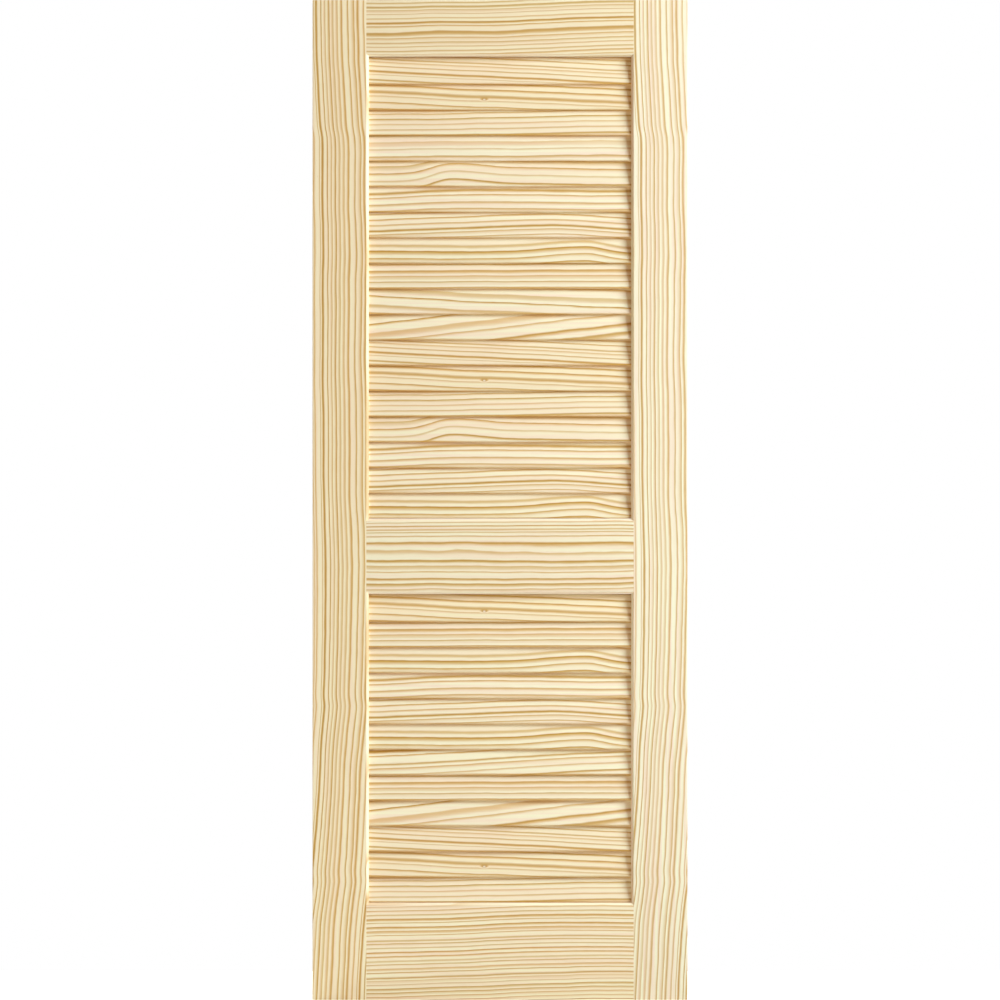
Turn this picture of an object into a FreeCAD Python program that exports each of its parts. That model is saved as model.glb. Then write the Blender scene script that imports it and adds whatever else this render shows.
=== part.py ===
"""Louvered interior door: pine stiles and rails, fixed slats in housings, dowelled corners.

Millimetres, +Z up. The origin is at the middle of the bottom edge, half way through the
thickness. The front faces -Y, and the slats slope down towards it.
"""
import FreeCAD, Part
import math
import os
import Sketcher

# Driving sizes: name, value, meaning
SIZES = [
    ("door_width", 762.0, "overall width"),
    ("door_height", 2032.0, "overall height"),
    ("door_thickness", 34.9, "thickness of stiles and rails"),
    ("stile_width", 114.3, "width of a stile, bevel included"),
    ("top_rail_height", 114.3, "height of the top rail, bevel included"),
    ("lock_rail_height", 152.4, "height of the lock rail, both bevels included"),
    ("lock_rail_centre", 901.5, "middle of the lock rail above the bottom edge"),
    ("bottom_rail_height", 197.3, "height of the bottom rail, bevel included"),
    ("bevel", 4.8, "bevel round both openings, front and back"),
    ("edge_ease", 1.5, "radius on the outer long edges"),
    ("slat_width", 57.15, "width of a slat over its round edges"),
    ("slat_thickness", 7.0, "thickness of a slat"),
    ("slat_tilt", 12.0, "lean of a slat from upright, in degrees"),
    ("upper_slats", 18, "slats between the top rail and the lock rail"),
    ("lower_slats", 12, "slats between the lock rail and the bottom rail"),
    ("rail_gap", 0.5, "space between an end slat and its rail"),
    ("housing_depth", 10.0, "depth of a slat's housing in the stile"),
    ("housing_fit", 0.1, "clearance round a slat in its housing"),
    ("housing_end_gap", 0.5, "space beyond the end of a slat"),
    ("dowel_diameter", 12.7, "diameter of a dowel"),
    ("dowel_length", 100.0, "length of a dowel, half of it in the stile"),
    ("dowel_fit", 0.1, "radial clearance of a dowel in its hole"),
    ("dowel_end_gap", 1.0, "glue space beyond each end of a dowel"),
    ("dowel_edge", 32.0, "outer dowels to the edges of their rail"),
    ("top_dowels", 2, "dowels in each end of the top rail"),
    ("lock_dowels", 2, "dowels in each end of the lock rail"),
    ("bottom_dowels", 3, "dowels in each end of the bottom rail"),
]

# Places worked out from the driving sizes, as expressions on the sheet
HALF_THICK = "(dims.door_thickness / 2)"
OUTER_X = "(dims.door_width / 2)"
INNER_X = f"({OUTER_X} - dims.stile_width)"
TOP_LOW = "(dims.door_height - dims.top_rail_height)"
LOCK_HIGH = "(dims.lock_rail_centre + dims.lock_rail_height / 2)"
LOCK_LOW = "(dims.lock_rail_centre - dims.lock_rail_height / 2)"
SLAT_RISE = "((dims.slat_width - dims.slat_thickness) * cos(dims.slat_tilt) + dims.slat_thickness)"
HOLE_DEPTH = "(dims.dowel_length / 2 + dims.dowel_end_gap)"

# Openings of the frame: name, lower edge, upper edge, slats
FIELDS = [
    ("upper", LOCK_HIGH, TOP_LOW, "upper_slats"),
    ("lower", "dims.bottom_rail_height", LOCK_LOW, "lower_slats"),
]

# Rails: name, lower edge, upper edge, which edges face an opening, dowels in each end
RAILS = [
    ("top", TOP_LOW, "dims.door_height", ("low",), "top_dowels"),
    ("lock", LOCK_LOW, LOCK_HIGH, ("low", "high"), "lock_dowels"),
    ("bottom", "0", "dims.bottom_rail_height", ("high",), "bottom_dowels"),
]

SIDES = {"left": -1, "right": 1}

# Coordinates and directions closer than this are taken as the same
ALIKE = 1e-4

doc = FreeCAD.newDocument("louvered_door")


def make_sheet():
    """The spreadsheet that holds every driving size under its own name."""
    sheet = doc.addObject("Spreadsheet::Sheet", "dims")
    for row, (name, value, meaning) in enumerate(SIZES, start=1):
        sheet.set(f"A{row}", meaning)
        sheet.set(f"B{row}", str(value))
        sheet.setAlias(f"B{row}", name)
    doc.recompute()
    return sheet


dims = make_sheet()


def number(expression):
    """The present value of an expression on the sheet."""
    return float(dims.evalExpression(expression))


def slat_run(low, high, count_name):
    """Expressions for the lowest slat's height and the step, which fill an opening evenly."""
    lowest = f"({low} + dims.rail_gap + {SLAT_RISE} / 2)"
    run = f"({high} - {low} - 2 * dims.rail_gap - {SLAT_RISE})"
    return lowest, f"({run} / (dims.{count_name} - 1))"


def dowel_heights(low, high, count_name):
    """Expressions for the heights of a rail's dowels, evenly spaced about its middle."""
    count = int(number(f"dims.{count_name}"))
    middle = f"(({low} + {high}) / 2)"
    step = f"(({high} - {low} - 2 * dims.dowel_edge) / {max(count - 1, 1)})"
    return [f"({middle} + {index - (count - 1) / 2} * {step})" for index in range(count)]


def new_body(label):
    """An empty body for one sub-part."""
    body = doc.addObject("PartDesign::Body", label)
    body.Label = label
    return body


def origin_feature(body, role):
    """One of the body's own origin planes or axes."""
    return next(item for item in body.Origin.OriginFeatures if item.Role == role)


def new_sketch(body, name, plane):
    """An empty sketch on one of the body's origin planes."""
    sketch = body.newObject("Sketcher::SketchObject", name)
    sketch.AttachmentSupport = [(origin_feature(body, plane), "")]
    sketch.MapMode = "FlatFace"
    return sketch


def bind_place(sketch, geometry, point, x_value, y_value):
    """Fix a point of a sketch at a pair of expressions."""
    for kind, value in (("DistanceX", x_value), ("DistanceY", y_value)):
        index = sketch.addConstraint(Sketcher.Constraint(kind, -1, 1, geometry, point, number(value)))
        sketch.setExpression(f"Constraints[{index}]", value)


def draw_polygon(sketch, corners):
    """A closed outline through corners that are pairs of expressions."""
    points = [FreeCAD.Vector(number(x), number(y), 0) for x, y in corners]
    count = len(points)
    for index in range(count):
        sketch.addGeometry(Part.LineSegment(points[index], points[(index + 1) % count]), False)
    for index in range(count):
        sketch.addConstraint(Sketcher.Constraint("Coincident", index, 2, (index + 1) % count, 1))
    for index, (x, y) in enumerate(corners):
        bind_place(sketch, index, 1, x, y)


def draw_circle(sketch, radius, x="0", y="0"):
    """A circle with its centre at a pair of expressions."""
    centre = FreeCAD.Vector(number(x), number(y), 0)
    circle = sketch.addGeometry(Part.Circle(centre, FreeCAD.Vector(0, 0, 1), number(radius)), False)
    index = sketch.addConstraint(Sketcher.Constraint("Radius", circle, number(radius)))
    sketch.setExpression(f"Constraints[{index}]", radius)
    bind_place(sketch, circle, 3, x, y)


def draw_slot(sketch, length, width):
    """An upright slot with round ends, centred on the sketch's origin: a slat's section."""
    radius = f"({width} / 2)"
    reach = f"(({length} - {width}) / 2)"
    side, end = number(radius), number(reach)
    normal = FreeCAD.Vector(0, 0, 1)
    top = Part.Circle(FreeCAD.Vector(0, end, 0), normal, side)
    bottom = Part.Circle(FreeCAD.Vector(0, -end, 0), normal, side)
    sketch.addGeometry(
        [
            Part.LineSegment(FreeCAD.Vector(side, -end, 0), FreeCAD.Vector(side, end, 0)),
            Part.ArcOfCircle(top, 0, math.pi),
            Part.LineSegment(FreeCAD.Vector(-side, end, 0), FreeCAD.Vector(-side, -end, 0)),
            Part.ArcOfCircle(bottom, math.pi, 2 * math.pi),
        ],
        False,
    )
    for index in range(4):
        sketch.addConstraint(Sketcher.Constraint("Tangent", index, 2, (index + 1) % 4, 1))
    sketch.addConstraint(Sketcher.Constraint("Equal", 1, 3))
    bind_place(sketch, 1, 3, "0", reach)
    bind_place(sketch, 3, 3, "0", f"(-{reach})")
    index = sketch.addConstraint(Sketcher.Constraint("Radius", 1, side))
    sketch.setExpression(f"Constraints[{index}]", radius)


def pad(body, sketch, length, symmetric=False):
    """The sketch made solid, along its normal or to both sides of it."""
    feature = body.newObject("PartDesign::Pad", "pad")
    feature.Profile = sketch
    feature.SideType = "Symmetric" if symmetric else "One side"
    feature.setExpression("Length", length)
    doc.recompute()
    return feature


def pocket(body, sketch, depth, along_normal=False):
    """The sketch cut into the solid, against its normal unless told otherwise."""
    before = body.Shape.Volume
    feature = body.newObject("PartDesign::Pocket", "pocket")
    feature.Profile = sketch
    feature.Reversed = along_normal
    feature.setExpression("Length", depth)
    doc.recompute()
    if not body.Shape.Volume < before:
        raise RuntimeError(f"{body.Label}: {sketch.Name} cuts nothing")
    return feature


def edges_along(shape, axis, test):
    """Names of the straight edges along an axis whose two ends both pass a test."""
    return [
        f"Edge{index}"
        for index, edge in enumerate(shape.Edges, start=1)
        if isinstance(edge.Curve, Part.Line)
        and edge.Curve.Direction.cross(axis).Length < ALIKE
        and all(test(vertex.Point) for vertex in edge.Vertexes)
    ]


def near(value, expression):
    """Whether a coordinate lies at an expression's value."""
    return math.isclose(value, number(expression), abs_tol=ALIKE)


def make_stile(side_name):
    """A stile: bevelled section carried up the door, slat housings and dowel holes in its inner edge."""
    side = SIDES[side_name]
    body = new_body(f"{side_name}_stile")
    inner, outer = f"({side} * {INNER_X})", f"({side} * {OUTER_X})"
    bevel_end = f"({inner} + {side} * dims.bevel)"
    shallow = f"({HALF_THICK} - dims.bevel)"
    section = new_sketch(body, "section", "XY_Plane")
    draw_polygon(section, [
        (outer, f"(-{HALF_THICK})"),
        (outer, HALF_THICK),
        (bevel_end, HALF_THICK),
        (inner, shallow),
        (inner, f"(-{shallow})"),
        (bevel_end, f"(-{HALF_THICK})"),
    ])
    base = pad(body, section, "dims.door_height")

    ease = body.newObject("PartDesign::Fillet", "ease")
    ease.Base = (base, edges_along(base.Shape, FreeCAD.Vector(0, 0, 1), lambda point: near(point.x, outer)))
    ease.setExpression("Radius", "dims.edge_ease")
    doc.recompute()

    holes = new_sketch(body, "dowel_holes", "YZ_Plane")
    holes.setExpression("AttachmentOffset.Base.z", inner)
    for _, low, high, _, count_name in RAILS:
        for height in dowel_heights(low, high, count_name):
            draw_circle(holes, "(dims.dowel_diameter / 2 + dims.dowel_fit)", y=height)
    pocket(body, holes, HOLE_DEPTH, along_normal=side > 0)

    for field in FIELDS:
        cut_housings(body, field, inner, along_normal=side > 0)
    return body


def cut_housings(body, field, inner, along_normal):
    """One field's row of housings, repeated up the stile.

    A housing is a tilted slot whose corners are cut at 45 degrees, so that each of its flats
    lies the same clearance from the flat or the round edge of the slat.
    """
    name, low, high, count_name = field
    lowest, step = slat_run(low, high, count_name)
    housing = new_sketch(body, f"{name}_housing", "YZ_Plane")
    lean = FreeCAD.Rotation(FreeCAD.Vector(0, 0, -1), number("dims.slat_tilt"))
    housing.AttachmentOffset = FreeCAD.Placement(FreeCAD.Vector(0, 0, 0), lean)
    housing.setExpression("AttachmentOffset.Base.y", lowest)
    housing.setExpression("AttachmentOffset.Base.z", inner)
    housing.setExpression("AttachmentOffset.Rotation.Angle", "dims.slat_tilt")
    side = "(dims.slat_thickness / 2 + dims.housing_fit)"
    end = "(dims.slat_width / 2 + dims.housing_fit)"
    corner = f"({side} * (2 - sqrt(2)))"
    end_half, side_half = f"({side} - {corner})", f"({end} - {corner})"
    upper_half = [(side, side_half), (end_half, end), (f"(-{end_half})", end), (f"(-{side})", side_half)]
    lower_half = [(f"(-{x})", f"(-{y})") for x, y in upper_half]
    draw_polygon(housing, upper_half + lower_half)
    cut = pocket(body, housing, "dims.housing_depth", along_normal)
    repeat_up(body, cut, f"dims.{count_name}", step)


def repeat_up(body, feature, count, step):
    """A feature repeated upwards, or the whole solid so far where no feature is named."""
    row = body.newObject("PartDesign::LinearPattern", "row")
    if feature is None:
        row.TransformMode = "Whole shape"
    else:
        row.Originals = [feature]
    row.Direction = (origin_feature(body, "Z_Axis"), [""])
    row.Mode = "Spacing"
    row.setExpression("Occurrences", count)
    row.setExpression("Offset", step)
    body.Tip = row
    doc.recompute()


def make_rail(name, low, high, bevelled, count_name):
    """A rail: coped over the stiles' bevel at both ends, bevelled towards each opening."""
    body = new_body(f"{name}_rail")
    shoulder, lip = INNER_X, f"({INNER_X} + dims.bevel)"
    shallow = f"({HALF_THICK} - dims.bevel)"
    plan = new_sketch(body, "plan", "XY_Plane")
    plan.setExpression("AttachmentOffset.Base.z", low)
    right_end = [
        (lip, f"(-{HALF_THICK})"),
        (shoulder, f"(-{shallow})"),
        (shoulder, shallow),
        (lip, HALF_THICK),
    ]
    left_end = [(f"(-{x})", y) for x, y in reversed(right_end)]
    draw_polygon(plan, right_end + left_end)
    base = pad(body, plan, f"({high} - {low})")

    bevel = body.newObject("PartDesign::Chamfer", "bevel")
    heights = [{"low": low, "high": high}[edge] for edge in bevelled]
    bevel.Base = (base, edges_along(base.Shape, FreeCAD.Vector(1, 0, 0), lambda point: (
        near(abs(point.y), HALF_THICK) and any(near(point.z, height) for height in heights)
    )))
    bevel.setExpression("Size", "dims.bevel")
    doc.recompute()

    holes = new_sketch(body, "dowel_holes", "YZ_Plane")
    holes.setExpression("AttachmentOffset.Base.z", shoulder)
    for height in dowel_heights(low, high, count_name):
        draw_circle(holes, "(dims.dowel_diameter / 2 + dims.dowel_fit)", y=height)
    drilled = pocket(body, holes, HOLE_DEPTH)
    other_end = body.newObject("PartDesign::Mirrored", "other_end")
    other_end.Originals = [drilled]
    other_end.MirrorPlane = (origin_feature(body, "YZ_Plane"), [""])
    body.Tip = other_end
    doc.recompute()
    return body


def make_slat(label, height):
    """A slat: round-edged strip between the stiles, leaning back from its lower edge."""
    body = new_body(label)
    section = new_sketch(body, "section", "YZ_Plane")
    draw_slot(section, "dims.slat_width", "dims.slat_thickness")
    pad(body, section, f"(2 * ({INNER_X} + dims.housing_depth - dims.housing_end_gap))", symmetric=True)
    lean = FreeCAD.Rotation(FreeCAD.Vector(-1, 0, 0), number("dims.slat_tilt"))
    body.Placement = FreeCAD.Placement(FreeCAD.Vector(0, 0, 0), lean)
    body.setExpression("Placement.Base.z", height)
    body.setExpression("Placement.Rotation.Angle", "dims.slat_tilt")
    return body


def make_dowels(rail_name, side_name, heights):
    """The dowels of one rail end, half in the rail and half in the stile."""
    body = new_body(f"{rail_name}_{side_name}_dowels")
    section = new_sketch(body, "section", "YZ_Plane")
    draw_circle(section, "(dims.dowel_diameter / 2)")
    pad(body, section, "dims.dowel_length", symmetric=True)
    if len(heights) > 1:
        repeat_up(body, None, str(len(heights)), f"({heights[1]} - {heights[0]})")
    body.setExpression("Placement.Base.x", f"({SIDES[side_name]} * {INNER_X})")
    body.setExpression("Placement.Base.z", heights[0])
    return body


def make_door():
    """Every sub-part of the door."""
    bodies = [make_stile(side_name) for side_name in SIDES]
    for name, low, high, bevelled, count_name in RAILS:
        bodies.append(make_rail(name, low, high, bevelled, count_name))
        heights = dowel_heights(low, high, count_name)
        bodies += [make_dowels(name, side_name, heights) for side_name in SIDES]
    for name, low, high, count_name in FIELDS:
        lowest, step = slat_run(low, high, count_name)
        count = int(number(f"dims.{count_name}"))
        for index in range(count):
            label = f"{name}_slat_{count - index:02d}"
            bodies.append(make_slat(label, f"({lowest} + {index} * {step})"))
    doc.recompute()
    return bodies


def check(bodies):
    """Stop on any failed feature and on any sub-part that is not a sound solid."""
    for item in doc.Objects:
        if "Invalid" in item.State or "Error" in item.State:
            raise RuntimeError(f"{item.Name} failed: {item.State}")
    for body in bodies:
        if body.Shape.isNull() or not body.Shape.isValid() or not body.Shape.Solids:
            raise RuntimeError(f"{body.Label} is not a sound solid")


def write(bodies):
    """One STEP file for each sub-part, named by its label."""
    os.makedirs("parts", exist_ok=True)
    for body in bodies:
        body.Shape.exportStep(f"parts/{body.Label}.step")


door = make_door()
check(door)
write(door)
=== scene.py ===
import math
from typing import NamedTuple

import bpy
import numpy as np
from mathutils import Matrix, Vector


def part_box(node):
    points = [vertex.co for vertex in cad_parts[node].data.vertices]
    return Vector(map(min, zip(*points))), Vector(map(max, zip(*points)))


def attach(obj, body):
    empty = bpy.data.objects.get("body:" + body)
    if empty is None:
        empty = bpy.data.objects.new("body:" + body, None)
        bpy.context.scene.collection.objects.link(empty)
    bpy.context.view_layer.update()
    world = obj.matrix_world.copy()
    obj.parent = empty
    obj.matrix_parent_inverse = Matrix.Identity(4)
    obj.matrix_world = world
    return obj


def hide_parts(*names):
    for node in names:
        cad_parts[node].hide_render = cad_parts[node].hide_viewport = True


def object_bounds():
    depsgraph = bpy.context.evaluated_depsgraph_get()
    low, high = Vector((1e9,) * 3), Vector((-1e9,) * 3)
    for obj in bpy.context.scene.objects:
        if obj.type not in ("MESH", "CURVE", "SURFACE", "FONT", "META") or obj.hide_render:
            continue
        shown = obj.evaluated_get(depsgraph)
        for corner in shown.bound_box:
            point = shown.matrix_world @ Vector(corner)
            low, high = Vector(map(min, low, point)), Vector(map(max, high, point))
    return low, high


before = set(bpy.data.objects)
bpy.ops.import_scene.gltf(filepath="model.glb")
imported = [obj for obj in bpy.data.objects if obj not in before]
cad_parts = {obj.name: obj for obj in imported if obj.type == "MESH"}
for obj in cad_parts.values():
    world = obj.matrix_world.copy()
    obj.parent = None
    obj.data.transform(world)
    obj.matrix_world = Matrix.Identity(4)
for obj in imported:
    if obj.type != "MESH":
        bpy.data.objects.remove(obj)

cad_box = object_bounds()

# Sizes of the boards in metres. SLAT_ROUND is the radius of a slat's edges over half its thickness, the
# constant after it the strip of a slat that the next one shelters and shades, over which a golden painted
# shade fades out, BEVEL_MARGIN how near to a bevel's plane its points lie, and KNOT_LONG and KNOT_HIGH a
# pin knot's radii.
SLAT_THICKNESS = 0.007
SLAT_ROUND = 0.97
PAINTED_SHADE_REACH = 0.014
EDGE_EASE = 0.0015
ARRIS = 0.0004
BEVEL_MARGIN = 0.3 * ARRIS
KNOT_LONG = 0.004
KNOT_HIGH = 0.002

# How finely a board is cut: round its outline and along its length in metres, round an arc in radians.
FACE_STEP = 0.004
LENGTH_STEP = 0.008
LEAST_ROWS = 8
ARC_STEP = 0.2
LEAST_ARC_STEPS = 4
SHARP_ANGLE = 0.6
TOUCHING = 1e-7

# How the bevels are painted paler, a painted highlight, in a board's light, line and warm tones, how the
# rings slant and curve through its thickness, how far apart two seeds lie in the noise, in metres, and in the
# count of rings, and where each ring's two draws lie past its number.
BEVEL_PAINTED_HIGHLIGHT = (1.08, 0.5, 0.5)
RING_SLANT = 0.6
RING_CURVE = 8.0
SEED_ALONG = 3.1
SEED_ACROSS = 1.7
SEED_RINGS = 17.0
RANK_DRAW = 0.5
BODY_DRAW = 40.5

# The bake map, as shares of its side: the unrolled sides at its left, the end cuts in a strip at its right.
MAP_MARGIN = 0.004
MAP_SIDES = 0.92
MAP_ENDS_LEFT = 0.945
MAP_ENDS_WIDTH = 0.045
MAP_ENDS_FOOT = 0.02
MAP_ENDS_HEIGHT = 0.45
MAP_ENDS_APART = 0.5

# The studio, in metres and watts.
WHITE = (1, 1, 1, 1)
ROOM_LIGHT = 0.28
ROOM_COLOUR = (1.0, 0.57, 0.22, 1)
LAMP_SIZE = 2.8
LAMP_POWER = 305.0
LAMP_COLOUR = (0.85, 1.0, 1.1)
LAMP_PLACE = (3.9, -2.8, 3.2)
LAMP_AIM = (0, 0, 1.0)
FLOOR_REACH = 3
FLOOR_BEHIND = 1.2
FLOOR_COLOUR = (0.8, 0.8, 0.8, 1.0)
FLOOR_GLOW = 0.55
CAMERA_DISTANCE = 20.0
CAMERA_SENSOR = 36
CAMERA_CLIP = 100

stile_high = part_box("left_stile")[1]
rail_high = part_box("top_rail")[1]
slat_low, slat_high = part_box("upper_slat_01")
slat_run = slat_high[1] - slat_low[1] - SLAT_THICKNESS
slat_rise = slat_high[2] - slat_low[2] - SLAT_THICKNESS

INNER_X = -stile_high[0]
HALF_THICK = stile_high[1]
BEVEL = rail_high[0] - INNER_X
SQUARE_EDGE = HALF_THICK - BEVEL
SLAT_TILT = math.atan2(slat_run, slat_rise)
SLAT_WIDTH = SLAT_THICKNESS + math.hypot(slat_run, slat_rise)

DOWN = (0, 0, -1)
RIGHT = (1, 0, 0)
UP = (0, 0, 1)
FRONT = (0, -1, 0)
SLAT_UP = (0, math.sin(SLAT_TILT), math.cos(SLAT_TILT))
SLAT_FRONT = (0, -math.cos(SLAT_TILT), math.sin(SLAT_TILT))


def srgb(red, green, blue):
    """A screen colour of 0 to 255 a channel as the linear colour that a shader takes."""
    screen = np.array([red, green, blue]) / 255
    linear = np.where(screen < 0.04045, screen / 12.92, ((screen + 0.055) / 1.055) ** 2.4)
    return (*linear.tolist(), 1.0)


EARLY_CREAM = srgb(253, 248, 217)
EARLY_ROSE = srgb(252, 232, 208)
EARLY_WARM = srgb(250, 229, 184)
LATE_STRAW = srgb(212, 174, 98)
LATE_TAN = srgb(222, 174, 102)
LINE_BROWN = srgb(186, 138, 58)
SPECK_BROWN = srgb(170, 120, 56)
KNOT_CREAM = srgb(253, 243, 226)
# Golden painted shade, laid where the slats shelter and shade each other.
PAINTED_SHADE_GOLD = srgb(224, 176, 92)
BEECH_PALE = srgb(222, 184, 138)
BEECH_FLECK = srgb(196, 150, 104)


class Flow:
    """One socket of a finish's node tree, so that shader sums are written as Python sums."""

    def __init__(self, tree, socket):
        self.tree = tree
        self.socket = socket

    def node(self, kind, settings=(), values=(), out=0):
        """Adds any node: its type, its settings, then the value or link of each named or numbered input."""
        node = self.tree.nodes.new(kind)
        for name, value in dict(settings).items():
            setattr(node, name, value)
        for name, value in dict(values).items():
            if isinstance(value, Flow):
                self.tree.links.new(value.socket, node.inputs[name])
            else:
                node.inputs[name].default_value = value
        return Flow(self.tree, node.outputs[out])

    def math(self, operation, *values):
        """One sum on numbers and sockets."""
        return self.node("ShaderNodeMath", {"operation": operation}, dict(enumerate(values)))

    def __add__(self, other):
        return self.math("ADD", self, other)

    __radd__ = __add__

    def __mul__(self, other):
        return self.math("MULTIPLY", self, other)

    __rmul__ = __mul__

    def __sub__(self, other):
        return self.math("SUBTRACT", self, other)

    def __rsub__(self, other):
        return self.math("SUBTRACT", other, self)

    def floor(self):
        """The whole number at or below this one."""
        return self.math("FLOOR", self)

    def step(self, start, end):
        """Rises smoothly from 0 at start to 1 at end."""
        settings = {"interpolation_type": "SMOOTHSTEP"}
        return self.node("ShaderNodeMapRange", settings, {0: self, 1: start, 2: end})

    def vector(self, name):
        """A board's own attribute of three numbers."""
        return self.node("ShaderNodeAttribute", {"attribute_name": name}, out=1)

    def value(self, name):
        """A board's own attribute of one number."""
        return self.node("ShaderNodeAttribute", {"attribute_name": name}, out=2)

    def stretch(self, along, across, deep):
        """A place on the board stretched, so that noise there has about so many waves a metre each way."""
        settings = {"operation": "MULTIPLY"}
        return self.node("ShaderNodeVectorMath", settings, {0: self, 1: (along, across, deep)})

    def noise(self, detail):
        """Smooth noise about 0 at a place, from about -0.5 to 0.5."""
        settings = {"noise_dimensions": "3D"}
        values = {"Vector": self, "Scale": 1.0, "Detail": detail}
        return self.node("ShaderNodeTexNoise", settings, values) - 0.5

    def uneven(self):
        """Smooth noise about 0 along one number."""
        settings = {"noise_dimensions": "1D"}
        values = {"W": self, "Scale": 1.0, "Detail": 0.0}
        return self.node("ShaderNodeTexNoise", settings, values) - 0.5

    def chance(self):
        """A number of its own from 0 to 1 for each whole number."""
        return self.node("ShaderNodeTexWhiteNoise", {"noise_dimensions": "1D"}, {"W": self})

    def blend(self, first, second):
        """Goes from the first colour to the second as this value goes from 0 to 1."""
        settings = {"data_type": "RGBA", "clamp_factor": True}
        return self.node("ShaderNodeMix", settings, {0: self, 6: first, 7: second}, out=2)

    def shaded(self, shade):
        """This colour times another."""
        settings = {"data_type": "RGBA", "blend_type": "MULTIPLY"}
        return self.node("ShaderNodeMix", settings, {0: 1.0, 6: self, 7: shade}, out=2)


def start_finish(name):
    """A material with an empty node tree, and a Flow to build it from."""
    finish = bpy.data.materials.new(name)
    finish.use_nodes = True
    finish.node_tree.nodes.clear()
    return finish, Flow(finish.node_tree, None)


def end_finish(finish, surface):
    """Gives a material its surface."""
    output = finish.node_tree.nodes.new("ShaderNodeOutputMaterial")
    finish.node_tree.links.new(surface.socket, output.inputs["Surface"])
    return finish


def pin_knot(start):
    """A pin knot's pale core and brown rim, and how far it lifts the rings round it, each a smooth step of
    the distance from its middle in its own radii."""
    far = start.node("ShaderNodeVectorMath", {"operation": "LENGTH"}, {0: start.vector("knot")}, out=1)
    core = 1 - far.step(0.5, 0.8)
    rim = far.step(0.5, 0.8) * (1 - far.step(0.9, 1.4))
    lift = (1 - far.step(0.0, 3.0)) * 0.5
    return core, rim, lift


def straying_rings(start, place, wandering, lift):
    """The board's count of rings, pushed to and fro by long, short and fine noise and by the knot, and made
    uneven so that some rings are wide and some narrow."""
    sway = place.stretch(2.6, 4, 4).noise(1.0)
    kink = place.stretch(9, 7, 7).noise(1.0)
    ripple = place.stretch(34, 160, 160).noise(1.0)
    count = start.value("rings") + sway * wandering + kink * 0.3 * wandering + ripple * 0.12 + lift
    return count + count.uneven() * 0.8


def pine(name, roughness, wandering, tan):
    """Bare planed pine: cream early wood that darkens to a tan late line once a ring, with fine fibres.

    wandering is how far the lines stray, in rings, and tan the share of a ring that its late wood takes.

    The board's own attributes give the place in the board, the count of growth rings, the board's tone, with
    a painted highlight on its bevels, the place as seen from its pin knot, and how far a patchy golden
    painted shade lies over the wood. Each ring has a rank, which is how dark its line is, and a body, which
    is how far its tan spreads.
    """
    finish, start = start_finish(name)
    place = start.vector("board")
    tone = start.vector("tone")
    light, strength, warm = (start.node("ShaderNodeSeparateXYZ", values={0: tone}, out=i) for i in range(3))
    core, rim, lift = pin_knot(start)

    count = straying_rings(start, place, wandering, lift)
    ring = count.floor()
    part = count - ring
    rank = (ring + RANK_DRAW).chance()
    body = (ring + BODY_DRAW).chance()
    late = part.step(0.92 - tan - body * 0.14, 0.84) * (1 - part.step(0.88, 0.99))
    late = late * (rank * 0.35 + 0.65) * strength
    edge = part.step(0.7, 0.87) * (1 - part.step(0.88, 0.98)) * rank * strength

    band = place.stretch(2.4, 130, 130).noise(2.0)
    fibre = place.stretch(9, 1500, 1500).noise(3.0)
    speck = place.stretch(130, 1100, 1100).noise(1.0).step(0.25, 0.3)
    painted_shade_patch = place.stretch(6, 25, 25).noise(1.0)
    early = (band * 3.6 + 0.45).blend(EARLY_CREAM, EARLY_ROSE)
    early = warm.blend(early, EARLY_WARM)
    colour = late.blend(early, body.blend(LATE_STRAW, LATE_TAN))
    colour = (edge * 0.75).blend(colour, LINE_BROWN)
    colour = (speck * 0.3 + rim * 0.2).blend(colour, SPECK_BROWN)
    colour = (core * 0.75).blend(colour, KNOT_CREAM)
    # Painted shade: a patchy gold laid where the slats shelter and shade each other and on their round edges.
    colour = (start.value("painted_shade") * (painted_shade_patch * 2.0 + 0.45)).blend(colour, PAINTED_SHADE_GOLD)
    level = fibre * 0.12 + light
    shade = start.node("ShaderNodeCombineColor", values={0: level, 1: level, 2: level + fibre * 0.05})
    relief = {"Strength": 0.25, "Distance": 0.0003, "Height": fibre * 0.7 + late * 0.5}
    surface = start.node(
        "ShaderNodeBsdfPrincipled",
        values={
            "Base Color": colour.shaded(shade),
            "Roughness": roughness - late * 0.1,
            "IOR": 1.45,
            "Specular IOR Level": 0.1,
            "Normal": start.node("ShaderNodeBump", values=relief),
        },
    )
    return end_finish(finish, surface)


def beech(name):
    """Turned beech for the hidden dowels: a warm tan with short fibres along the pin."""
    finish, start = start_finish(name)
    place = start.node("ShaderNodeTexCoord", out=3)
    fleck = place.stretch(60, 700, 700).noise(2.0)
    colour = (fleck * 1.6 + 0.5).blend(BEECH_PALE, BEECH_FLECK)
    surface = start.node("ShaderNodeBsdfPrincipled", values={"Base Color": colour, "Roughness": 0.55})
    return end_finish(finish, surface)


class Bend(NamedTuple):
    """A place along a board where its lines shift across, and how far that reaches before and after it."""

    place: float
    shift: float
    before: float
    after: float


class Wide(NamedTuple):
    """A place across a board where fast growth left rings out. If missing is below 0, some are added."""

    place: float
    missing: float
    reach: float


class Grain(NamedTuple):
    """How the growth rings run in one kind of board, in metres.

    seed picks the board's own noise, spacing is the mean distance of two late lines, lean their drift
    across per metre of length, and raised a shift of them all. light, line and warm set the tone. knot is
    where a pin knot lies, (along, across), which is off the board if it has none.
    """

    seed: int
    spacing: float
    lean: float = 0.0
    raised: float = 0.0
    bends: tuple = ()
    wide: tuple = ()
    light: float = 1.0
    line: float = 1.0
    warm: float = 0.0
    knot: tuple = (9.0, 9.0)


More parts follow.
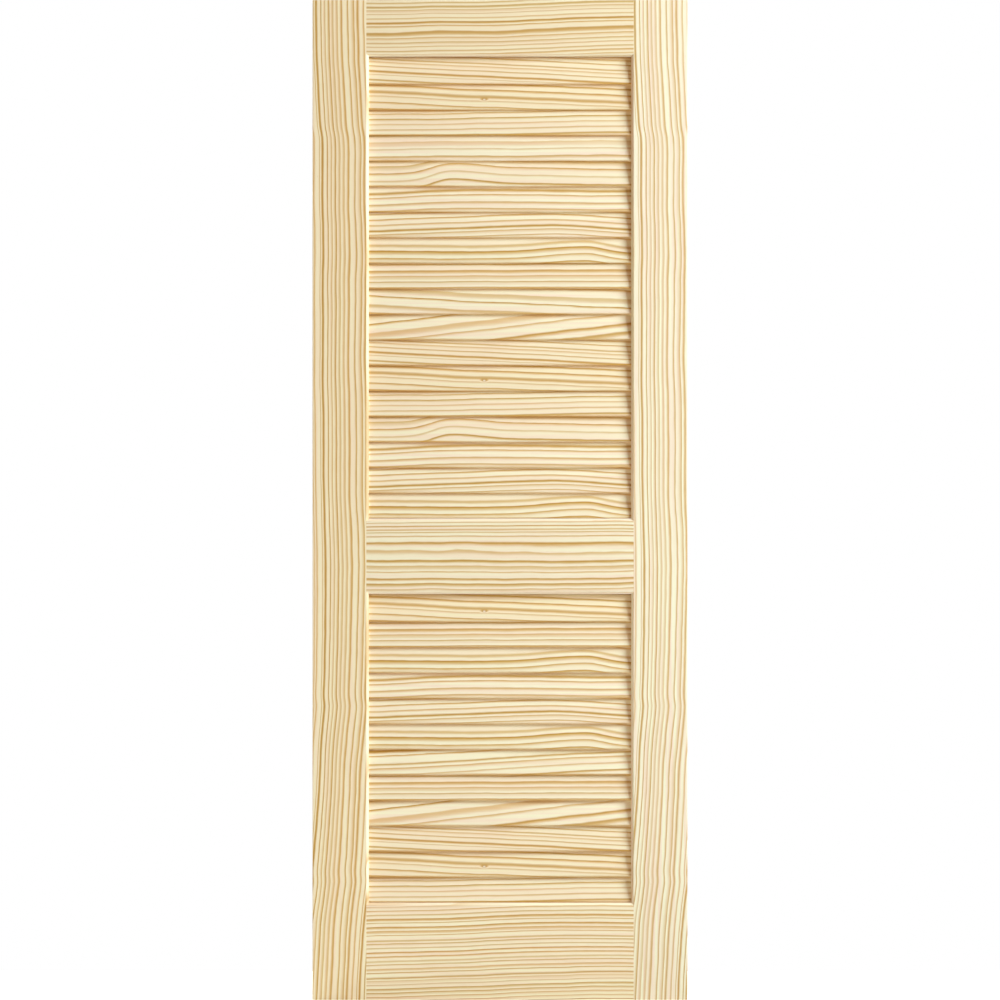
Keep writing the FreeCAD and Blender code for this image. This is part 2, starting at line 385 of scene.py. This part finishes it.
def grain_rings(along, across, deep, grain):
    """Growth rings counted across the board: the distance across, less the drift of the lines at that place
    along, over the rings' spacing. A bend is a bell that shifts the lines; depth adds the rings' own slant.
    A wide place takes out its rings by a smooth step."""
    drift = grain.raised + grain.lean * along
    for bend in grain.bends:
        reach = np.where(along < bend.place, bend.before, bend.after)
        drift = drift + bend.shift * np.exp(-(((along - bend.place) / reach) ** 2))
    level = across - drift + RING_SLANT * deep + RING_CURVE * deep**2
    rings = level / grain.spacing + SEED_RINGS * grain.seed
    for wide in grain.wide:
        rings = rings - wide.missing / 2 * np.tanh((level - wide.place) / wide.reach)
    return rings


def rounded_outline(corners, radii):
    """Outline round straight-sided corners, each rounded by an arc that touches both its sides.

    The arc's middle lies on the bisector at radius / sin(half angle), and straight runs are cut at FACE_STEP.
    """
    corners = np.array(corners, float)
    runs = []
    for i, radius in enumerate(radii):
        corner = corners[i]
        if radius == 0:
            runs.append(corner[None])
            continue
        back = corners[i - 1] - corner
        ahead = corners[(i + 1) % len(corners)] - corner
        back = back / np.linalg.norm(back)
        ahead = ahead / np.linalg.norm(ahead)
        half = math.acos(np.clip(back @ ahead, -1, 1)) / 2
        touch = radius / math.tan(half)
        bisector = (back + ahead) / np.linalg.norm(back + ahead)
        middle = corner + bisector * radius / math.sin(half)
        first = (corner + back * touch - middle) / radius
        last = (corner + ahead * touch - middle) / radius
        turn = math.pi - 2 * half
        share = np.linspace(0, 1, max(LEAST_ARC_STEPS, math.ceil(turn / ARC_STEP)) + 1)[:, None]
        arc = (np.sin((1 - share) * turn) * first + np.sin(share * turn) * last) / math.sin(turn)
        runs.append(middle + radius * arc)
    outline = []
    for i, run in enumerate(runs):
        start = run[-1]
        end = runs[(i + 1) % len(runs)][0]
        cuts = max(1, math.ceil(np.linalg.norm(end - start) / FACE_STEP))
        share = np.linspace(0, 1, cuts + 1)[1:-1, None]
        outline += [run, start + (end - start) * share]
    return np.concatenate(outline)


def on_bevel(outline, sides):
    """Which points of an outline lie on the 45 degree bevel of these sides across, 1 or -1: those whose
    distances across and deep add up to the sum at the bevel's corners."""
    across, deep = outline.T
    corner = across.max() + SQUARE_EDGE - BEVEL_MARGIN
    found = np.zeros(len(outline), bool)
    for side in sides:
        found |= side * across + np.abs(deep) > corner
    return found


def side_quads(i, j, count):
    """The four corners of each face round a board, whose points are numbered round and then along it."""
    ahead = (i + 1) % count
    quads = [j * count + i, j * count + ahead, (j + 1) * count + ahead, (j + 1) * count + i]
    return np.stack(quads, -1).reshape(-1, 4)


def end_cuts(outline, rows, cope):
    """The faces that close a board's two ends: one each, or three flat ones each where they are coped."""
    level = outline[:, 1]
    zones = [np.ones(len(outline), bool)]
    if cope:
        zones = [
            level >= SQUARE_EDGE - TOUCHING,
            np.abs(level) <= SQUARE_EDGE + TOUCHING,
            level <= TOUCHING - SQUARE_EDGE,
        ]
    cuts = []
    for zone in zones:
        ring = np.flatnonzero(zone)
        cuts += [ring[::-1], ring + rows * len(outline)]
    return cuts


def bake_spots(outline, i, j, rows, cuts):
    """Where each face corner lies on the bake map: girth by length for the sides, deep by across for the
    end cuts."""
    lengths = np.linalg.norm(np.roll(outline, -1, 0) - outline, axis=1)
    girth = np.concatenate([[0], np.cumsum(lengths)]) / lengths.sum() * MAP_SIDES + MAP_MARGIN
    height = np.linspace(MAP_MARGIN, 1 - MAP_MARGIN, rows + 1)
    corners = ((0, 0), (1, 0), (1, 1), (0, 1))
    sides = np.stack([np.stack([girth[i + right], height[j + up]], -1) for right, up in corners], -2)
    spots = [sides.reshape(-1, 2)]
    share = (outline - outline.min(0)) / np.ptp(outline, axis=0)
    for n, cut in enumerate(cuts):
        across, deep = share[cut % len(outline)].T
        foot = MAP_ENDS_FOOT + MAP_ENDS_APART * (n % 2)
        spots.append(np.stack([MAP_ENDS_LEFT + MAP_ENDS_WIDTH * deep, foot + MAP_ENDS_HEIGHT * across], -1))
    return np.concatenate(spots)


def board_mesh(name, points, quads, cuts, spots):
    """A mesh of the faces round a board and of its end cuts, smooth up to SHARP_ANGLE, with its bake map."""
    corners = np.concatenate([quads.ravel(), *cuts])
    sizes = np.concatenate([np.full(len(quads), 4), [len(cut) for cut in cuts]])
    mesh = bpy.data.meshes.new(name)
    mesh.vertices.add(len(points))
    mesh.vertices.foreach_set("co", points.ravel())
    mesh.loops.add(len(corners))
    mesh.loops.foreach_set("vertex_index", corners)
    mesh.polygons.add(len(sizes))
    mesh.polygons.foreach_set("loop_start", np.concatenate([[0], np.cumsum(sizes)[:-1]]))
    mesh.polygons.foreach_set("use_smooth", np.ones(len(sizes), bool))
    mesh.update(calc_edges=True)
    mesh.validate()
    mesh.set_sharp_from_angle(angle=SHARP_ANGLE)
    bake_map = mesh.uv_layers.new(name="OFBake")
    bake_map.uv.foreach_set("vector", spots.ravel())
    return mesh


def mark_points(mesh, name, marks):
    """Keeps an array on a mesh's points as an attribute: a number a point, or a vector with a third axis."""
    kind, part = ("FLOAT_VECTOR", "vector") if marks.ndim == 3 else ("FLOAT", "value")
    mesh.attributes.new(name, kind, "POINT").data.foreach_set(part, marks.ravel())


def carve_board(name, outline, reach, axes, middle, grain, finish, bevels=(), painted_shade=0.0, cope=False):
    """A board: its outline of (across, deep) points carried along its length from -reach to +reach.

    A coped end runs on over the stiles' bevel, by as much as a point lies in front of or behind the square
    edge. bevels names the sides across, 1 or -1, whose edge is bevelled: that cut is painted paler than the
    faces, a painted highlight. The argument after bevels is a golden painted shade, how golden each point of
    the outline is, from 0 to 1.
    """
    along_axis, across_axis, deep_axis = (np.array(axis, float) for axis in axes)
    past_square = np.clip(np.abs(outline[:, 1]) - SQUARE_EDGE, 0, BEVEL)
    ends = reach + past_square * cope
    rows = max(LEAST_ROWS, math.ceil(2 * reach / LENGTH_STEP))
    along = np.linspace(-1, 1, rows + 1)[:, None] * ends
    across, deep = (np.broadcast_to(part, along.shape) for part in outline.T)
    points = (
        np.array(middle, float)
        + along[..., None] * along_axis
        + across[..., None] * across_axis
        + deep[..., None] * deep_axis
    ).reshape(-1, 3)
    i, j = np.meshgrid(np.arange(len(outline)), np.arange(rows))
    cuts = end_cuts(outline, rows, cope)
    spots = bake_spots(outline, i, j, rows, cuts)
    mesh = board_mesh(name, points, side_quads(i, j, len(outline)), cuts, spots)

    place = [along + SEED_ALONG * grain.seed, across + SEED_ACROSS * grain.seed, deep]
    mark_points(mesh, "board", np.stack(place, -1))
    mark_points(mesh, "rings", grain_rings(along, across, deep, grain))
    # Painted highlight: the bevels' points get a paler, less lined tone.
    painted_highlight = on_bevel(outline, bevels)[:, None]
    tone = np.array([grain.light, grain.line, grain.warm]) * np.where(painted_highlight, BEVEL_PAINTED_HIGHLIGHT, 1.0)
    mark_points(mesh, "tone", np.broadcast_to(tone, (*along.shape, 3)))
    knot_along, knot_across = grain.knot
    from_knot = [(along - knot_along) / KNOT_LONG, (across - knot_across) / KNOT_HIGH, 0 * along]
    mark_points(mesh, "knot", np.stack(from_knot, -1))
    # The golden painted shade of each point of the outline.
    mark_points(mesh, "painted_shade", np.broadcast_to(painted_shade, along.shape))
    mesh.materials.append(finish)
    board = bpy.data.objects.new(name, mesh)
    bpy.context.scene.collection.objects.link(board)
    return board


def place_board(board, node):
    """Lets a board stand in for its node on the door's one body."""
    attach(board, "root")
    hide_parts(node)


stile_pine = pine("planed pine, stiles", 0.6, 1.7, 0.62)
rail_pine = pine("planed pine, rails", 0.6, 1.6, 0.6)
slat_pine = pine("planed pine, slats", 0.58, 0.9, 0.56)

# Both stiles are cut from one pattern, and the slats from a few, which come again in the fields below.
STILE_BENDS = (
    Bend(-1.02, -0.014, 0.3, 0.4),
    Bend(-0.736, 0.003, 0.016, 0.06),
    Bend(0.42, 0.003, 0.016, 0.05),
    Bend(0.778, 0.003, 0.016, 0.05),
    Bend(1.1, -0.045, 0.42, 0.3),
)
STILE_WIDE = (Wide(0.048, 2.4, 0.026),)
STILE_GRAIN = {
    "left_stile": Grain(1, 0.0079, bends=STILE_BENDS, wide=STILE_WIDE, light=1.02, line=1.15, warm=0.5),
    "right_stile": Grain(1, 0.0079, bends=STILE_BENDS, wide=STILE_WIDE, line=0.95),
}
TOP_BENDS = (Bend(0.25, 0.007, 0.16, 0.2),)
TOP_WIDE = (Wide(0.006, 1.4, 0.012),)
LOCK_WIDE = (Wide(0.017, 1.7, 0.014), Wide(0.062, -3.0, 0.022))
BOTTOM_BENDS = (Bend(0.1, 0.004, 0.2, 0.2),)
# The top rail's light below 1 and the bottom rail's above 1 partly even out the lamp's fall-off down the
# door, painted light, and partly are the rails' own tones.
RAIL_GRAIN = {
    "top_rail": Grain(3, 0.0078, lean=0.008, bends=TOP_BENDS, wide=TOP_WIDE, light=0.98, warm=0.5),
    "lock_rail": Grain(8, 0.0116, lean=0.008, raised=0.012, wide=LOCK_WIDE, warm=0.2),
    "bottom_rail": Grain(5, 0.0082, lean=0.022, bends=BOTTOM_BENDS, light=1.03, warm=0.3),
}
HUMP_BENDS = (Bend(-0.1, 0.012, 0.055, 6.0), Bend(-0.096, 0.009, 0.055, 0.075))
BOW_BENDS = (Bend(-0.01, 0.010, 0.18, 0.5),)
FINE_BENDS = (Bend(0.11, 0.014, 0.23, 0.15),)
WAVE_BENDS = (Bend(0.172, 0.011, 0.12, 0.05), Bend(0.275, -0.006, 0.06, 0.1))
SLAT_GRAIN = {
    "falling": Grain(10, 0.0090, lean=-0.049, line=0.95, warm=0.4),
    "pin_knot": Grain(11, 0.0128, lean=-0.043, raised=0.004, line=0.9, warm=0.5, knot=(-0.032, -0.008)),
    "rising": Grain(12, 0.0110, lean=0.015, warm=0.3),
    "plain": Grain(13, 0.0150, line=0.9, warm=0.1),
    "left_hump": Grain(14, 0.0150, bends=HUMP_BENDS, line=0.95, warm=0.25),
    "bowed": Grain(15, 0.0135, bends=BOW_BENDS, light=1.01, line=0.85, warm=0.15),
    "fine": Grain(16, 0.0105, bends=FINE_BENDS, warm=0.2),
    "right_wave": Grain(17, 0.0150, bends=WAVE_BENDS, line=1.1, warm=0.25),
    "straight": Grain(18, 0.0120, warm=0.2),
    "slanted": Grain(19, 0.0175, lean=-0.049, warm=0.15),
    "steep": Grain(20, 0.0190, lean=0.12, warm=0.2),
    "climbing": Grain(21, 0.0130, lean=0.052, warm=0.2),
}
FIELD_BOARDS = {
    "upper": (
        "falling pin_knot rising plain left_hump bowed fine right_wave straight slanted steep "
        "falling pin_knot rising left_hump bowed fine right_wave"
    ),
    "lower": (
        "pin_knot straight right_wave bowed fine right_wave climbing straight steep falling pin_knot rising"
    ),
}


def make_stile(node, inner):
    """A stile: an upright board, its outer edge eased and its inner edge bevelled on both faces.

    inner is the side across on which its inner edge lies: 1 at the right, -1 at the left.
    """
    low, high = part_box(node)
    half = (high[0] - low[0]) / 2
    corners = [
        (-half, -HALF_THICK),
        (half - BEVEL, -HALF_THICK),
        (half, -SQUARE_EDGE),
        (half, SQUARE_EDGE),
        (half - BEVEL, HALF_THICK),
        (-half, HALF_THICK),
    ]
    radii = [EDGE_EASE, ARRIS, ARRIS, ARRIS, ARRIS, EDGE_EASE]
    outline = rounded_outline(corners, radii) * (inner, 1)
    if inner < 0:
        outline = outline[::-1]
    middle = (low + high) / 2
    reach = (high[2] - low[2]) / 2
    axes = (DOWN, RIGHT, FRONT)
    board = carve_board(
        node + "_board", outline, reach, axes, middle, STILE_GRAIN[node], stile_pine, bevels=(inner,)
    )
    place_board(board, node)


def make_rail(node, bevel_below, bevel_above):
    """A rail: a level board, bevelled where it meets a field of slats and coped over the stiles' bevel."""
    low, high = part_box(node)
    half = (high[2] - low[2]) / 2
    foot = BEVEL - half if bevel_below else -half
    head = half - BEVEL if bevel_above else half
    corners = [
        (foot, -HALF_THICK),
        (head, -HALF_THICK),
        (half, -SQUARE_EDGE),
        (half, SQUARE_EDGE),
        (head, HALF_THICK),
        (foot, HALF_THICK),
        (-half, SQUARE_EDGE),
        (-half, -SQUARE_EDGE),
    ]
    outline = rounded_outline(corners, [ARRIS, ARRIS, 0, 0, ARRIS, ARRIS, 0, 0])
    middle = (low + high) / 2
    bevels = [side for side, cut in ((-1, bevel_below), (1, bevel_above)) if cut]
    axes = (RIGHT, UP, FRONT)
    board = carve_board(
        node + "_board", outline, INNER_X, axes, middle, RAIL_GRAIN[node], rail_pine, bevels, cope=True
    )
    place_board(board, node)


def make_slat(node, kind):
    """A slat: a thin board with round long edges, leaning back at its top.

    Golden painted shade lies where the next slat shelters and shades it, which is up in front and down
    behind, and on its round edges.
    """
    low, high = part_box(node)
    half = SLAT_WIDTH / 2
    thin = SLAT_THICKNESS / 2
    corners = [(-half, -thin), (half, -thin), (half, thin), (-half, thin)]
    outline = rounded_outline(corners, [SLAT_ROUND * thin] * 4)
    across, deep = outline.T
    # Painted shade: golden where the next slat shelters and shades this one, fading out over that strip, and
    # on both round edges.
    painted_shade_strip = 1 - (half - across * np.sign(deep)) / PAINTED_SHADE_REACH
    edge = 1 - (half - np.abs(across)) / thin
    painted_shade = np.clip(np.maximum(painted_shade_strip, edge), 0, 1)
    middle = (low + high) / 2
    reach = (high[0] - low[0]) / 2
    axes = (RIGHT, SLAT_UP, SLAT_FRONT)
    board = carve_board(
        node + "_board", outline, reach, axes, middle, SLAT_GRAIN[kind], slat_pine, painted_shade=painted_shade
    )
    place_board(board, node)


make_stile("left_stile", inner=1)
make_stile("right_stile", inner=-1)
make_rail("top_rail", bevel_below=True, bevel_above=False)
make_rail("lock_rail", bevel_below=True, bevel_above=True)
make_rail("bottom_rail", bevel_below=False, bevel_above=True)
for field, kinds in FIELD_BOARDS.items():
    for number, kind in enumerate(kinds.split(), 1):
        make_slat(f"{field}_slat_{number:02d}", kind)

dowel_beech = beech("turned beech, dowels")
for rail in ("top", "lock", "bottom"):
    for side in ("left", "right"):
        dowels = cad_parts[f"{rail}_{side}_dowels"].data
        dowels.materials.clear()
        dowels.materials.append(dowel_beech)


def studio_floor():
    """A plain pale floor under the door. It looks white to the camera where no shadow falls on it."""
    finish, start = start_finish("pale studio floor")
    seen = start.node("ShaderNodeLightPath", out=0)
    matt = start.node("ShaderNodeBsdfDiffuse", values={"Color": FLOOR_COLOUR})
    glow = start.node("ShaderNodeEmission", values={"Strength": seen * FLOOR_GLOW})
    surface = start.node("ShaderNodeAddShader", values={0: matt, 1: glow})
    end_finish(finish, surface)
    mesh = bpy.data.meshes.new("studio_floor")
    corners = [
        (-FLOOR_REACH, -FLOOR_REACH, 0),
        (FLOOR_REACH, -FLOOR_REACH, 0),
        (FLOOR_REACH, FLOOR_BEHIND, 0),
        (-FLOOR_REACH, FLOOR_BEHIND, 0),
    ]
    mesh.from_pydata(corners, [], [(0, 1, 2, 3)])
    mesh.materials.append(finish)
    floor = bpy.data.objects.new("studio_floor", mesh)
    bpy.context.scene.collection.objects.link(floor)


def room_light():
    """A soft even light from all round, warm on the door and white where the camera sees it."""
    world = bpy.data.worlds.new("studio")
    bpy.context.scene.world = world
    world.use_nodes = True
    world.node_tree.nodes.clear()
    start = Flow(world.node_tree, None)
    seen = start.node("ShaderNodeLightPath", out=0)
    glossy = start.node("ShaderNodeLightPath", out=3)
    through = start.node("ShaderNodeLightPath", out=6)
    white = seen.math("MAXIMUM", seen, seen.math("MAXIMUM", glossy, through))
    strength = white + (1 - white) * ROOM_LIGHT
    colour = white.blend(ROOM_COLOUR, WHITE)
    glow = start.node("ShaderNodeBackground", values={"Color": colour, "Strength": strength})
    output = world.node_tree.nodes.new("ShaderNodeOutputWorld")
    world.node_tree.links.new(glow.socket, output.inputs["Surface"])


def studio_lamps():
    """A large round lamp at the right in front of the door, and its twin half a turn round behind it."""
    for name, side in (("front_lamp", 1), ("back_lamp", -1)):
        lamp = bpy.data.lights.new(name, "AREA")
        lamp.shape = "DISK"
        lamp.size = LAMP_SIZE
        lamp.energy = LAMP_POWER
        lamp.color = LAMP_COLOUR
        holder = bpy.data.objects.new(name, lamp)
        holder.location = (side * LAMP_PLACE[0], side * LAMP_PLACE[1], LAMP_PLACE[2])
        aim = Vector(LAMP_AIM) - holder.location
        holder.rotation_euler = aim.to_track_quat("-Z", "Y").to_euler()
        bpy.context.scene.collection.objects.link(holder)


def front_camera():
    """A long lens, straight on, whose picture is as tall as the door's face."""
    low, high = cad_box
    camera = bpy.data.cameras.new("front_camera")
    camera.sensor_width = CAMERA_SENSOR
    camera.lens = CAMERA_SENSOR * CAMERA_DISTANCE / (high[2] - low[2])
    camera.clip_end = CAMERA_CLIP
    holder = bpy.data.objects.new("front_camera", camera)
    holder.location = (0, low[1] - CAMERA_DISTANCE, (low[2] + high[2]) / 2)
    holder.rotation_euler = (math.pi / 2, 0, 0)
    bpy.context.scene.collection.objects.link(holder)
    bpy.context.scene.camera = holder


studio_floor()
room_light()
studio_lamps()
front_camera()
bpy.context.scene.view_settings.view_transform = "Standard"
